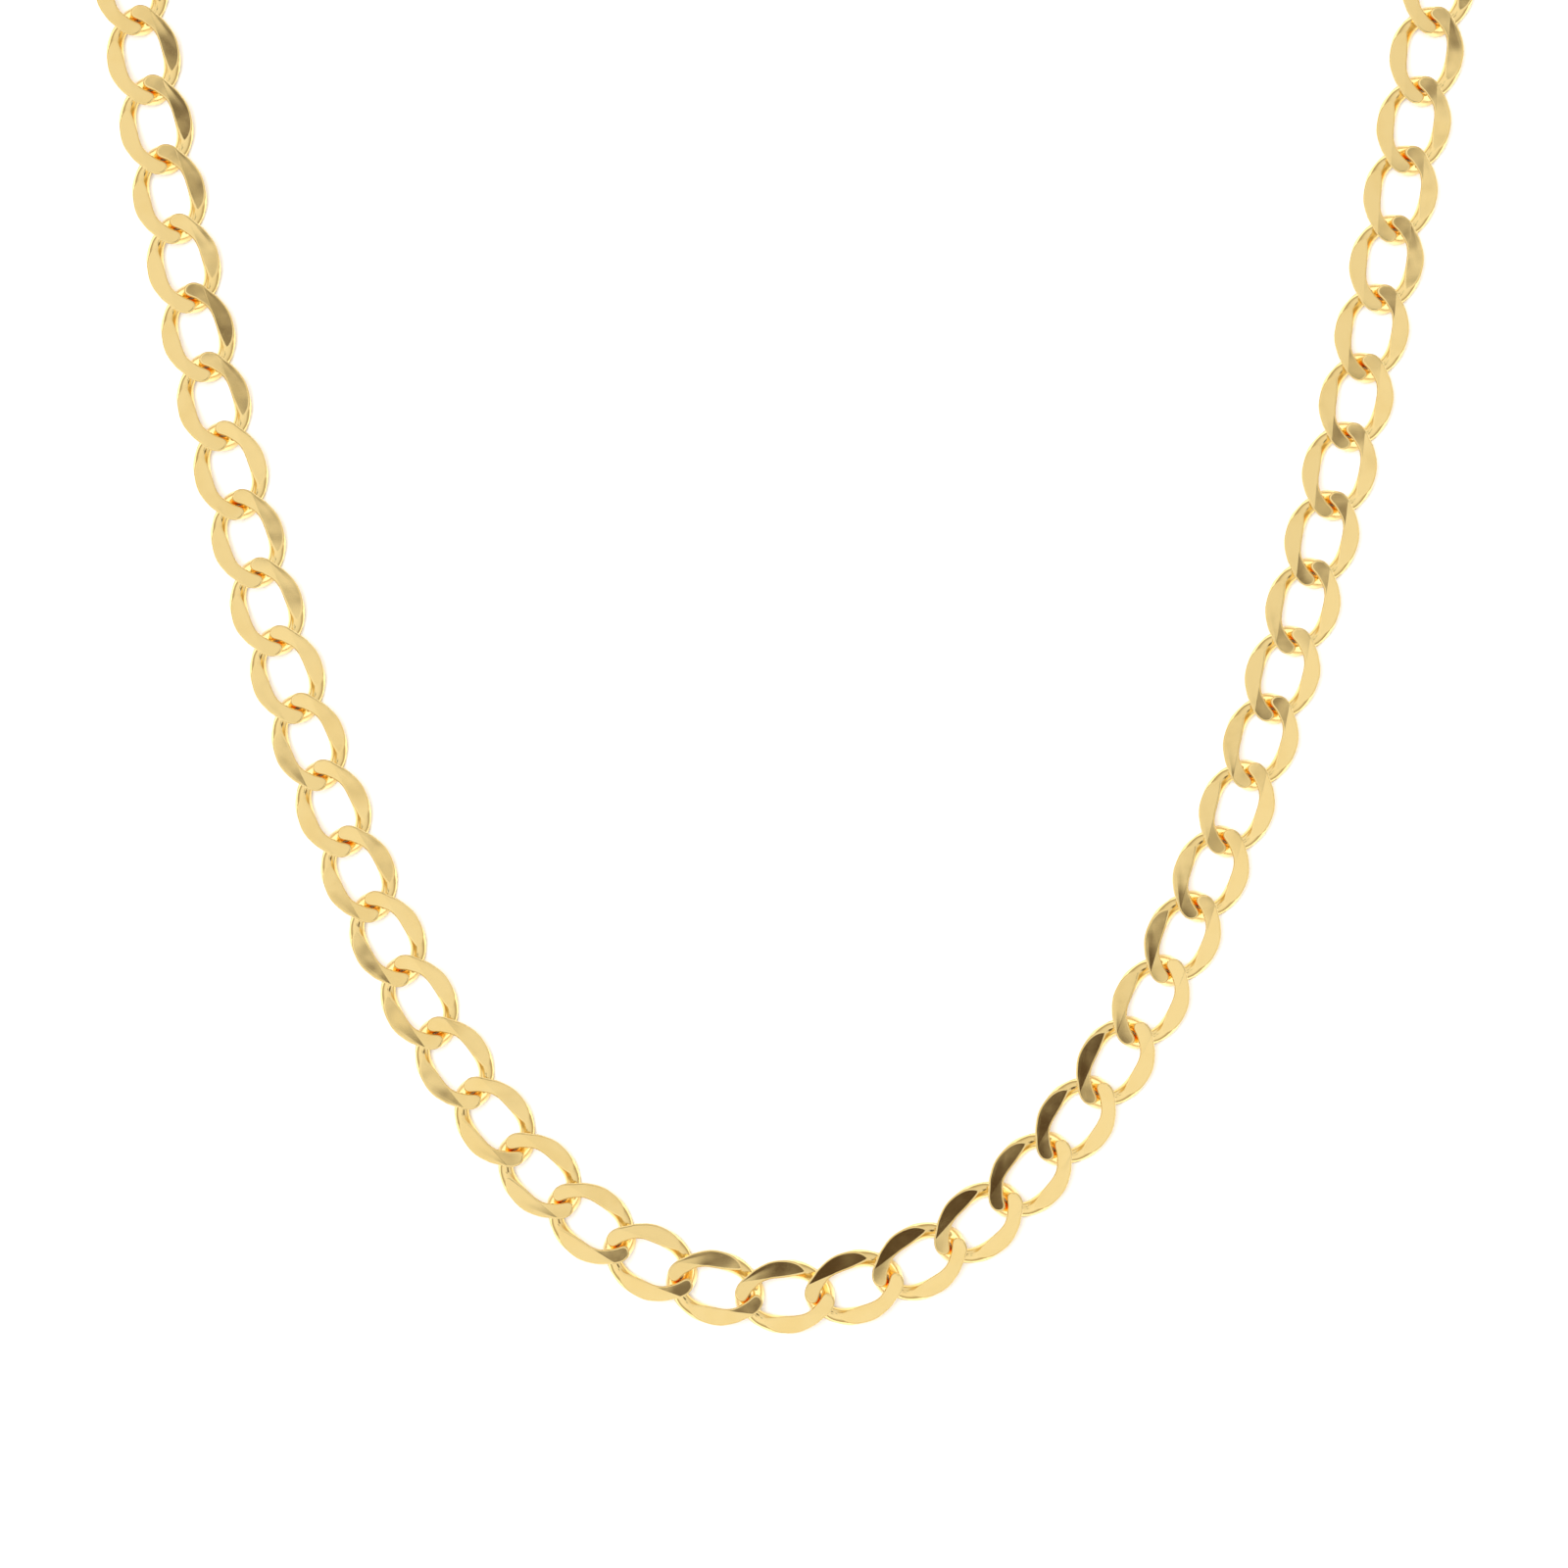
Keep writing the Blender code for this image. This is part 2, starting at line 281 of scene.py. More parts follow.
class Finish(Enum):
    """The finishes that the necklace is made in."""

    LINK = MetalFinish("polished_gold", (1.0, 0.765, 0.345),
                       (0.98, 0.72, 0.29), 0.10, 0.05, 3.0e-5, 1.2e-7)
    CLASP = MetalFinish("clasp_gold", (1.0, 0.82, 0.42),
                        (0.97, 0.76, 0.35), 0.13, 0.06, 1.5e-5, 8.0e-7)
    SPRING = MetalFinish("spring_steel", (0.72, 0.70, 0.67),
                         (0.60, 0.57, 0.52), 0.22, 0.08, 0.0, 6.0e-7)


class Polisher:
    """Makes each finish once and gives it to pieces."""

    def __init__(self) -> None:
        """Start with no material made."""
        self._made: dict[Finish, bpy.types.Material] = {}

    def dress(self, piece: bpy.types.Object, finish: Finish) -> None:
        """Give a piece one finish all over.

        Args:
            piece: The piece.
            finish: The finish.
        """
        if finish not in self._made:
            self._made[finish] = finish.value.material()
        piece.data.materials.clear()
        piece.data.materials.append(self._made[finish])


# --------------------------------------------------------------------------
# The bench: modelling by operators
# --------------------------------------------------------------------------
Rule = Callable[[bpy.types.MeshPolygon], bool]


class Bench:
    """The modelling operators, with everything let go of first."""

    @staticmethod
    def clear() -> None:
        """Leave edit mode and deselect everything."""
        if bpy.context.object and bpy.context.object.mode != "OBJECT":
            bpy.ops.object.mode_set(mode="OBJECT")
        bpy.ops.object.select_all(action="DESELECT")

    @staticmethod
    def hold(piece: bpy.types.Object) -> None:
        """Select one piece only and make it active.

        Args:
            piece: The piece to work on.
        """
        Bench.clear()
        piece.select_set(True)
        bpy.context.view_layer.objects.active = piece

    @staticmethod
    def pick(piece: bpy.types.Object, rule: Rule | None = None) -> None:
        """Enter edit mode with the faces that follow a rule selected.

        Args:
            piece: The piece to edit.
            rule: Says which faces are selected; all of them without one.
        """
        Bench.hold(piece)
        bpy.context.tool_settings.mesh_select_mode = (False, False, True)
        mesh = piece.data
        for group in (mesh.vertices, mesh.edges, mesh.polygons):
            group.foreach_set("select", [False] * len(group))
        for face in mesh.polygons:
            face.select = rule is None or rule(face)
        bpy.ops.object.mode_set(mode="EDIT")

    @staticmethod
    def cut(piece: bpy.types.Object, spot: Vector, normal: Vector,
            rule: Rule | None = None) -> None:
        """Slice off what lies above a plane and close the cut.

        Args:
            piece: The piece to cut.
            spot: A point on the plane.
            normal: The plane's normal; that side is removed.
            rule: The faces that the plane reaches.
        """
        Bench.pick(piece, rule)
        bpy.ops.mesh.bisect(plane_co=spot, plane_no=normal, use_fill=True,
                            clear_inner=False, clear_outer=True,
                            threshold=1e-7)
        bpy.ops.object.mode_set(mode="OBJECT")

    @staticmethod
    def modify(piece: bpy.types.Object, kind: str,
               **settings: object) -> None:
        """Add a modifier, set it and apply it.

        Args:
            piece: The piece to change.
            kind: The modifier's type.
            settings: The modifier's properties.
        """
        Bench.hold(piece)
        bpy.ops.object.modifier_add(type=kind)
        modifier = piece.modifiers[-1]
        for key, value in settings.items():
            setattr(modifier, key, value)
        bpy.ops.object.modifier_apply(modifier=modifier.name)

    @staticmethod
    def copy(master: bpy.types.Object, name: str,
             place: Matrix) -> bpy.types.Object:
        """Copy a piece with its own mesh, its place put in the mesh.

        Args:
            master: The piece to copy.
            name: The copy's name.
            place: Where the copy goes.

        Returns:
            The copy, which sits at the origin.
        """
        twin = master.copy()
        twin.data = master.data.copy()
        twin.name = name
        twin.data.name = name
        twin.data.transform(place)
        bpy.context.scene.collection.objects.link(twin)
        return twin

    @staticmethod
    def join(piece: bpy.types.Object, tool: bpy.types.Object,
             operation: str) -> None:
        """Carve a piece with a tool, or melt the tool into it.

        Args:
            piece: The piece to change.
            tool: The other shape, which is used up.
            operation: DIFFERENCE or UNION.
        """
        Bench.modify(piece, "BOOLEAN", operation=operation, object=tool,
                     solver="EXACT")
        bpy.data.objects.remove(tool, do_unlink=True)

    @staticmethod
    def block(low: tuple[float, float, float],
              high: tuple[float, float, float]) -> bpy.types.Object:
        """A block between two corners.

        Args:
            low: Its lowest corner.
            high: Its highest corner.

        Returns:
            The block.
        """
        Bench.clear()
        middle = [(one + two) / 2.0 for one, two in zip(low, high)]
        bpy.ops.mesh.primitive_cube_add(size=1.0, location=middle)
        block = bpy.context.object
        block.scale = [two - one for one, two in zip(low, high)]
        Bench.settle(block)
        return block

    @staticmethod
    def disc(spot: tuple[float, float], half: tuple[float, float],
             height: float, sides: int) -> bpy.types.Object:
        """An upright disc or oval.

        Args:
            spot: Its centre on X and Y; it is centred on Z.
            half: Its half length and half width.
            height: Its height.
            sides: Divisions round it.

        Returns:
            The disc.
        """
        Bench.clear()
        bpy.ops.mesh.primitive_cylinder_add(
            vertices=sides, radius=1.0, depth=height,
            location=(spot[0], spot[1], 0.0))
        disc = bpy.context.object
        disc.scale = (half[0], half[1], 1.0)
        Bench.settle(disc)
        return disc

    @staticmethod
    def settle(piece: bpy.types.Object) -> None:
        """Put a piece's place, turn and scale into its mesh.

        Args:
            piece: The piece.
        """
        Bench.hold(piece)
        bpy.ops.object.transform_apply(location=True, rotation=True,
                                       scale=True)

    @staticmethod
    def blank(node: str, name: str) -> bpy.types.Object:
        """Take a solid's shape as the blank for a finer piece.

        Args:
            node: The solid's name.
            name: The new piece's name.

        Returns:
            The blank, with its triangles joined up.
        """
        blank = Bench.copy(bpy.data.objects[node], name, Matrix())
        blank.hide_render = False
        blank.hide_set(False)
        Bench.pick(blank)
        bpy.ops.mesh.remove_doubles(threshold=2e-6)
        bpy.ops.object.mode_set(mode="OBJECT")
        return blank

    @staticmethod
    def ring_of_wire(name: str, half_length: float, half_width: float,
                     radius: float, steps: int, sides: int,
                     at_end: float, at_shoulder: float,
                     drawn_in: float) -> bpy.types.Object:
        """A closed oval of round wire about the origin.

        Args:
            name: The piece's name.
            half_length: Centreline, along X.
            half_width: Centreline, along Y.
            radius: Radius of the wire.
            steps: Divisions in each eighth of the oval.
            sides: Divisions beyond four round the wire, halved.
            at_end: Radius of the wire at its ends on X, over radius.
            at_shoulder: Radius at its four shoulders, over radius.
            drawn_in: Scale of the shoulders' place.

        Returns:
            The wire as a mesh object.
        """
        Bench.clear()
        bpy.ops.curve.primitive_bezier_circle_add(radius=1.0)
        wire = bpy.context.object
        wire.name = name
        bpy.ops.object.mode_set(mode="EDIT")
        bpy.ops.curve.select_all(action="SELECT")
        bpy.ops.curve.subdivide(number_cuts=1)
        bpy.ops.transform.resize(value=(half_length, half_width, 1.0))
        spline = wire.data.splines[0]
        spline.radius_interpolation = "EASE"
        off_axis = 0.1 * half_width
        near_end = 0.9 * half_length
        for point in spline.bezier_points:
            shoulder = min(abs(point.co.x), abs(point.co.y)) > off_axis
            point.select_control_point = shoulder
            point.select_left_handle = shoulder
            point.select_right_handle = shoulder
            end = abs(point.co.x) > near_end
            point.radius = (at_shoulder if shoulder
                            else at_end if end else 1.0)
        bpy.ops.transform.resize(value=(drawn_in, drawn_in, 1.0),
                                 center_override=(0.0, 0.0, 0.0))
        bpy.ops.object.mode_set(mode="OBJECT")
        wire.data.resolution_u = steps
        wire.data.bevel_depth = radius
        wire.data.bevel_resolution = sides
        bpy.ops.object.convert(target="MESH")
        return bpy.context.object

    @staticmethod
    def twist(piece: bpy.types.Object, turn: float, reach: float) -> None:
        """Turn a piece steadily about the X axis.

        Args:
            piece: The piece, centred on the origin.
            turn: Turn at the distance of reach, in radians.
            reach: Where on X the turn is reached.
        """
        tip = max(abs(vertex.co.x) for vertex in piece.data.vertices)
        Bench.modify(piece, "SIMPLE_DEFORM", deform_method="TWIST",
                     deform_axis="X", angle=2.0 * turn * tip / reach)


# --------------------------------------------------------------------------
# The chain
# --------------------------------------------------------------------------
@dataclass(frozen=True)
class Seat:
    """Where one link lies.

    Attributes:
        name: The link's name.
        node: The solid it stands for, which is also its body.
        centre: Its centre.
        heading: Its turn about Z.
        order: Its number, counted from the bottom of the U.
    """

    name: str
    node: str
    centre: Vector
    heading: float
    order: int


class Hinges:
    """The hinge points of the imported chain."""

    def __init__(self, record: dict) -> None:
        """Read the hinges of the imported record.

        Args:
            record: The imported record.
        """
        self.child_of: dict[str, list[dict]] = {}
        self.own: dict[str, dict] = {}
        for joint in record["behaviour"]["joints"]:
            self.child_of.setdefault(joint["parent"], []).append(joint)
            self.own[joint["child"]] = joint

    def strand(self, start: dict) -> list[tuple[str, Vector, Vector]]:
        """Follow one strand from the bottom link to its end ring.

        Args:
            start: The first hinge of the strand.

        Returns:
            Each link body with its inner and its outer hinge point.
        """
        found = []
        joint = start
        while joint["child"] in self.child_of:
            after = self.child_of[joint["child"]][0]
            found.append((joint["child"], Vector(joint["pos_m"]),
                          Vector(after["pos_m"])))
            joint = after
            if not joint["child"].startswith("link"):
                break
        return found


@dataclass
class CurbLink:
    """One flat curb link and the way that the chain is laid.

    Attributes:
        half_length: Wire centreline along the chain.
        half_width: Wire centreline across the chain.
        wire: Radius of the wire along the two strands.
        at_end: Radius of the wire at the link's ends, over that.
        at_shoulder: Radius between end and strand, over that.
        drawn_in: Scale of the centreline's shoulders.
        twist: Turn of the link's end out of its plane.
        rolled: Height of the link after rolling, over before.
        swell: Height of the end's section over its width.
        swell_reach: How far from the end the swelling fades away.
        strand_height: Height of a strand facet at the middle.
        strand_slope: Its fall along and across the link.
        lobe_slope: Fall of a lobe facet towards the link's axis.
        crease: Distance of the crease from the link's axis.
        reach: Where the strand facet's cut stops beyond the middle.
        rim: Width of the rounded rim round the facets.
        rim_drop: How far the rim falls below the facets.
        sway: Largest lean of a link from lying level, in radians.
        roll_beat: Pace and start of the lean about the link's length.
        tip_beat: Pace and start of the lean about its width.
        tip_share: Size of the second lean over the first.
        wire_steps: Divisions in each eighth of the wire's oval.
        wire_sides: Divisions beyond four round the wire, halved.
        tip_start: Where the swollen end starts, over half_length.
        past_axis: How far beyond the link's axis a cut reaches.
        facet_area: Smallest area of a cut facet.
        facing: Least share of Z in the normal of a facet that is rimmed.
        flat_weight: How strongly the facets set the shading normals.
        pair_shares: Where the two links of a pair lie along it.
    """

    half_length: float = 4.02 * MM
    half_width: float = 2.60 * MM
    wire: float = 0.83 * MM
    at_end: float = 0.83
    at_shoulder: float = 1.06
    drawn_in: float = 1.08
    twist: float = math.radians(48)
    rolled: float = 0.87
    swell: float = 1.40
    swell_reach: float = 1.3 * MM
    strand_height: float = 0.20 * MM
    strand_slope: tuple[float, float] = (0.17, 0.06)
    lobe_slope: float = 0.08
    crease: float = 1.60 * MM
    reach: float = 2.6 * MM
    rim: float = 0.17 * MM
    rim_drop: float = 0.05 * MM
    sway: float = math.radians(1.2)
    roll_beat: tuple[float, float] = (2.399, 0.6)
    tip_beat: tuple[float, float] = (1.713, 2.1)
    tip_share: float = 0.6
    wire_steps: int = 18
    wire_sides: int = 12
    tip_start: float = 0.97
    past_axis: float = 1.2 * MM
    facet_area: float = 0.3 * MM * MM
    facing: float = 0.5
    flat_weight: int = 80
    pair_shares: tuple[float, float] = (0.25, 0.75)

    def master(self) -> bpy.types.Object:
        """Model the link that every other one is copied from.

        Returns:
            The link, centred on the origin, along X.
        """
        link = Bench.ring_of_wire(
            "curb_link", self.half_length, self.half_width, self.wire,
            self.wire_steps, self.wire_sides, self.at_end, self.at_shoulder,
            self.drawn_in)
        Bench.twist(link, -self.twist, self.half_length)
        Bench.pick(link)
        bpy.ops.transform.resize(value=(1.0, 1.0, self.rolled),
                                 center_override=(0.0, 0.0, 0.0))
        bpy.ops.object.mode_set(mode="OBJECT")
        for end in (1, -1):
            tip = self.half_length * self.tip_start
            Bench.pick(link, lambda poly: poly.center.x * end > tip)
            bpy.ops.transform.resize(
                value=(1.0, 1.0, self.swell),
                center_override=(end * self.half_length, 0.0, 0.0),
                use_proportional_edit=True,
                proportional_edit_falloff="SMOOTH",
                proportional_size=self.swell_reach)
            bpy.ops.object.mode_set(mode="OBJECT")
        for face in (1, -1):
            self._cut_face(link, face)
            self._round_rim(link, face)
        self._sharpen_creases(link)
        Bench.hold(link)
        bpy.ops.object.shade_smooth(keep_sharp_edges=True)
        Bench.modify(link, "WEIGHTED_NORMAL", keep_sharp=True,
                     weight=self.flat_weight)
        return link

    def _cut_face(self, link: bpy.types.Object, face: int) -> None:
        """Cut the four facets of one face of the link.

        Args:
            link: The link.
            face: 1 for the upper face and -1 for the underside.
        """
        along, across = self.strand_slope
        inward = self.half_width - self.crease
        for strand in (1, -1):
            side = strand * face

            def on_strand(poly: bpy.types.MeshPolygon, strand: int = strand,
                          side: int = side) -> bool:
                """Whether a face can meet the strand's cut."""
                return (poly.center.y * side > -self.past_axis
                        and poly.center.x * strand < self.reach
                        and (poly.center.y * side > 0.0
                             or poly.center.x * strand < 0.0))

            def on_lobe(poly: bpy.types.MeshPolygon, strand: int = strand,
                        side: int = side) -> bool:
                """Whether a face can meet the lobe's cut."""
                return (poly.center.y * side > -self.past_axis
                        and poly.center.x * strand < 0.0)

            Bench.cut(link,
                      Vector((0.0, side * self.half_width,
                              face * self.strand_height)),
                      Vector((strand * along, side * across, face)),
                      on_strand)
            Bench.cut(link,
                      Vector((0.0, side * self.crease,
                              face * (self.strand_height
                                      + across * inward))),
                      Vector((strand * along, -side * self.lobe_slope,
                              face)), on_lobe)

    def _facet(self, poly: bpy.types.MeshPolygon) -> bool:
        """Whether a face is one of the large cut facets."""
        return poly.area > self.facet_area

    def _round_rim(self, link: bpy.types.Object, face: int) -> None:
        """Raise the facets of one face inside a narrow sloping rim.

        Args:
            link: The link.
            face: 1 for the upper face and -1 for the underside.
        """
        Bench.pick(link, lambda poly: self._facet(poly)
                   and poly.normal.z * face > self.facing)
        bpy.ops.mesh.inset(thickness=self.rim, use_even_offset=True,
                           use_boundary=True)
        bpy.ops.transform.translate(value=(0.0, 0.0, face * self.rim_drop))
        bpy.ops.object.mode_set(mode="OBJECT")

    def _sharpen_creases(self, link: bpy.types.Object) -> None:
        """Mark the creases where two facets meet as sharp.

        Args:
            link: The link.
        """
        mesh = link.data
        shared: dict[tuple[int, int], int] = {}
        for poly in mesh.polygons:
            if self._facet(poly):
                for key in poly.edge_keys:
                    shared[key] = shared.get(key, 0) + 1
        for edge in mesh.edges:
            edge.use_edge_sharp = shared.get(edge.key, 0) == 2

    def lean(self, order: int) -> Matrix:
        """The slight lean of one link from lying level.

        Args:
            order: The link's number from the bottom of the U.

        Returns:
            The lean as a rotation.
        """
        pace, start = self.roll_beat
        roll = self.sway * math.sin(order * pace + start)
        pace, start = self.tip_beat
        tip = self.sway * self.tip_share * math.sin(order * pace + start)
        return (Matrix.Rotation(roll, 4, "X")
                @ Matrix.Rotation(tip, 4, "Y"))

    def seats(self, hinges: Hinges, root: str) -> list[Seat]:
        """Work out where every link lies from the hinge points.

        Args:
            hinges: The chain's hinge points.
            root: The body of the bottom link.

        Returns:
            The seats of all links.
        """
        left, right = sorted((Vector(joint["pos_m"])
                              for joint in hinges.child_of[root]),
                             key=lambda point: point.x)
        found = [self._seat("curb_link_bottom", root, left, right, 0.5, 0)]
        for start in hinges.child_of[root]:
            side = 1 if start["pos_m"][0] > (left.x + right.x) / 2.0 else -1
            word = "right" if side > 0 else "left"
            count = 0
            for node, inner, outer in hinges.strand(start):
                shares = self.pair_shares if "pair" in node else (0.5,)
                for share in shares:
                    count += 1
                    ends = (inner, outer) if side > 0 else (outer, inner)
                    along = share if side > 0 else 1.0 - share
                    found.append(self._seat(
                        f"curb_link_{word}_{count:02d}", node, *ends, along,
                        side * count))
        return found

    @staticmethod
    def _seat(name: str, node: str, start: Vector, end: Vector,
              share: float, order: int) -> Seat:
        """One seat on the line between two hinge points.

        Args:
            name: The link's name.
            node: The solid it stands for.
            start: The hinge point at the link's left end.
            end: The hinge point at the link's right end.
            share: How far along the line its centre lies.
            order: Its number from the bottom of the U.

        Returns:
            The seat.
        """
        run = end - start
        return Seat(name, node, start.lerp(end, share),
                    math.atan2(run.y, run.x), order)

    def build(self, record: dict, polisher: Polisher) -> int:
        """Lay all the links.

        Args:
            record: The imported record.
            polisher: Gives the links their finish.

        Returns:
            How many links were laid.
        """
        master = self.master()
        polisher.dress(master, Finish.LINK)
        laid = 0
        for seat in self.seats(Hinges(record), "link_centre"):
            place = (Matrix.Translation(seat.centre)
                     @ Matrix.Rotation(seat.heading, 4, "Z")
                     @ self.lean(seat.order))
            link = Bench.copy(master, seat.name, place)
            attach(link, seat.node)
            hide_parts(seat.node)
            laid += 1
        bpy.data.objects.remove(master, do_unlink=True)
        return laid


# --------------------------------------------------------------------------
# The clasp and the wire fittings
# --------------------------------------------------------------------------
@dataclass
class LobsterClasp:
    """The lobster clasp: claw with its eye, finger, pin and spring.

    Lengths along the clasp are measured from the centre of its eye.

    Attributes:
        eye_reach: From the clasp's pivot to the centre of the eye.
        eye: Radius of the eye's ring and of its wire.
        neck: Half width and half height of the neck.
        body: Half length, half width and height of the claw.
        body_centre: Where the claw's middle is.
        taper: Widening of the claw towards its tip.
        dome: Rounding of the claw's outline.
        mouth: Centre, half length and half width of the mouth.
        gap: Where the claw is open on the finger's side.
        slot: Ends and height of the finger's slot.
        pin: Place of the pin's hole.
        pin_hole: Radius of the pin's hole.
        edge: Rounding of the other edges of the claw.
        finger_edge: Rounding of the finger's edges.
        pin_edge: Rounding of the pin's heads.
        flat: Largest angle between triangles of one flat, in radians.
        corner: Smallest angle of an edge that is rounded, in radians.
        steps: Steps in each rounding.
        face_level: Height of a flat face over the height of the body.
        dome_steps: Steps in the rounding of the claw's outline.
        gap_depth: How near the gap comes to the claw's middle line.
        slot_depth: How near the slot comes to it.
        neck_overlap: From the claw's middle to the neck's far end.
        neck_edge: Rounding of the neck.
        neck_steps: Steps in that rounding.
        claw_sides: Divisions round the claw.
        mouth_sides: Divisions round the mouth.
        pin_sides: Divisions round the pin's hole.
        eye_sides: Divisions round the eye's ring and round its wire.
        flat_weight: How strongly flat faces set the shading normals.
    """

    eye_reach: float = 0.8 * MM
    eye: tuple[float, float] = (1.7 * MM, 0.45 * MM)
    neck: tuple[float, float] = (1.1 * MM, 0.5 * MM)
    body: tuple[float, float, float] = (6.2 * MM, 3.8 * MM, 2.8 * MM)
    body_centre: float = 9.0 * MM
    taper: float = 0.16
    dome: float = 0.75 * MM
    mouth: tuple[float, float, float] = (11.0 * MM, 2.8 * MM, 2.1 * MM)
    gap: tuple[float, float] = (7.8 * MM, 12.1 * MM)
    slot: tuple[float, float, float] = (4.0 * MM, 9.0 * MM, 1.7 * MM)
    pin: tuple[float, float] = (6.2 * MM, -1.6 * MM)
    pin_hole: float = 0.50 * MM
    edge: float = 0.12 * MM
    finger_edge: float = 0.14 * MM
    pin_edge: float = 0.06 * MM
    flat: float = math.radians(0.6)
    corner: float = math.radians(42.0)
    steps: int = 3
    face_level: float = 0.42
    dome_steps: int = 6
    gap_depth: float = 0.5 * MM
    slot_depth: float = 0.2 * MM
    neck_overlap: float = 4.6 * MM
    neck_edge: float = 0.3 * MM
    neck_steps: int = 4
    claw_sides: int = 72
    mouth_sides: int = 64
    pin_sides: int = 24
    eye_sides: tuple[int, int] = (56, 20)
    flat_weight: int = 60

    def _finish(self, piece: bpy.types.Object, node: str, body: str,
                edge: float, finish: Finish,
                polisher: Polisher) -> None:
        """Round a piece's edges, dress it and hang it on its body.

        Args:
            piece: The piece.
            node: The solid that it takes the place of.
            body: The body that it moves with.
            edge: Width of the rounding.
            finish: The finish.
            polisher: Gives the finish.
        """
        Bench.hold(piece)
        bpy.ops.object.shade_smooth()
        Bench.modify(piece, "BEVEL", width=edge, segments=self.steps,
                     limit_method="ANGLE", angle_limit=self.corner,
                     use_clamp_overlap=True)
        Bench.modify(piece, "WEIGHTED_NORMAL", keep_sharp=True,
                     weight=self.flat_weight)
        polisher.dress(piece, finish)
        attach(piece, body)
        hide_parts(node)
        LOG.info("%s: %d faces", piece.name, len(piece.data.polygons))

    def _cast(self, node: str, name: str) -> bpy.types.Object:
        """Cast a piece in the shape of its solid.

        Args:
            node: The solid.
            name: The piece's name.

        Returns:
            The piece, with plain flats.
        """
        piece = Bench.blank(node, name)
        Bench.pick(piece)
        bpy.ops.mesh.dissolve_limited(angle_limit=self.flat)
        bpy.ops.object.mode_set(mode="OBJECT")
        return piece

    def _claw(self, swing: dict, height: float) -> bpy.types.Object:
        """Model the claw with its neck and eye.

        Args:
            swing: The hinge on which the clasp hangs.
            height: Height of the clasp's middle plane.

        Returns:
            The claw, in place.
        """
        half_length, half_width, thick = self.body
        beyond = 4.0 * half_width
        claw = Bench.disc((0.0, 0.0), (half_length, half_width), thick,
                          self.claw_sides)
        Bench.modify(claw, "SIMPLE_DEFORM", deform_method="TAPER",
                     deform_axis="X", factor=2.0 * self.taper)
        for face in (1, -1):
            Bench.cut(claw,
                      Vector((0.0, 0.0, face * thick * self.face_level)),
                      Vector((0.0, 0.0, face)))
        Bench.pick(claw)
        regrown = 1.0 / (2.0 * self.face_level)
        bpy.ops.transform.resize(value=(1.0, 1.0, regrown),
                                 center_override=(0.0, 0.0, 0.0))
        bpy.ops.object.mode_set(mode="OBJECT")
        Bench.modify(claw, "BEVEL", width=self.dome,
                     segments=self.dome_steps, limit_method="ANGLE",
                     angle_limit=self.corner)
        claw.location.x = self.body_centre
        Bench.settle(claw)
        centre, mouth_length, mouth_width = self.mouth
        inner, outer = self.gap
        start, end, height_of_slot = self.slot
        for tool in (
                Bench.disc((centre, 0.0), (mouth_length, mouth_width),
                           beyond, self.mouth_sides),
                Bench.block((inner, -beyond, -beyond),
                            (outer, -self.gap_depth, beyond)),
                Bench.block((start, -beyond, -height_of_slot / 2.0),
                            (end, -self.slot_depth,
                             height_of_slot / 2.0)),
                Bench.disc(self.pin, (self.pin_hole, self.pin_hole),
                           beyond, self.pin_sides)):
            Bench.join(claw, tool, "DIFFERENCE")
        wide, high = self.neck
        neck = Bench.block((self.eye[0], -wide, -high),
                           (self.body_centre - self.neck_overlap, wide,
                            high))
        Bench.modify(neck, "BEVEL", width=self.neck_edge,
                     segments=self.neck_steps, limit_method="ANGLE",
                     angle_limit=self.corner)
        Bench.join(claw, neck, "UNION")
        Bench.clear()
        bpy.ops.mesh.primitive_torus_add(
            major_radius=self.eye[0], minor_radius=self.eye[1],
            major_segments=self.eye_sides[0],
            minor_segments=self.eye_sides[1])
        Bench.join(claw, bpy.context.object, "UNION")
        claw.name = "claw_and_eye"
        pivot, axis = Vector(swing["pos_m"]), swing["axis"]
        claw.data.transform(
            Matrix.Translation((pivot.x, pivot.y, height))
            @ Matrix.Rotation(math.atan2(-axis[0], axis[1]), 4, "Z")
            @ Matrix.Translation((self.eye_reach, 0.0, 0.0)))
        return claw

    def build(self, record: dict, polisher: Polisher) -> None:
        """Make the clasp's four pieces.

        Args:
            record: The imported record.
            polisher: Gives them their finishes.
        """
        own = Hinges(record).own
        claw = self._claw(own["clasp"], own["clasp_lever"]["pos_m"][2])
        self._finish(claw, "clasp_body", "clasp", self.edge,
                     Finish.CLASP, polisher)
        self._finish(self._cast("clasp_lever", "claw_finger"),
                     "clasp_lever", "clasp_lever",
                     self.finger_edge, Finish.CLASP, polisher)
        self._finish(self._cast("clasp_pin", "finger_pin"), "clasp_pin",
                     "clasp", self.pin_edge,
                     Finish.SPRING, polisher)
        WireFitting().build("clasp_spring", "hairpin_spring", "clasp",
                            "spring_steel", Finish.SPRING, polisher)


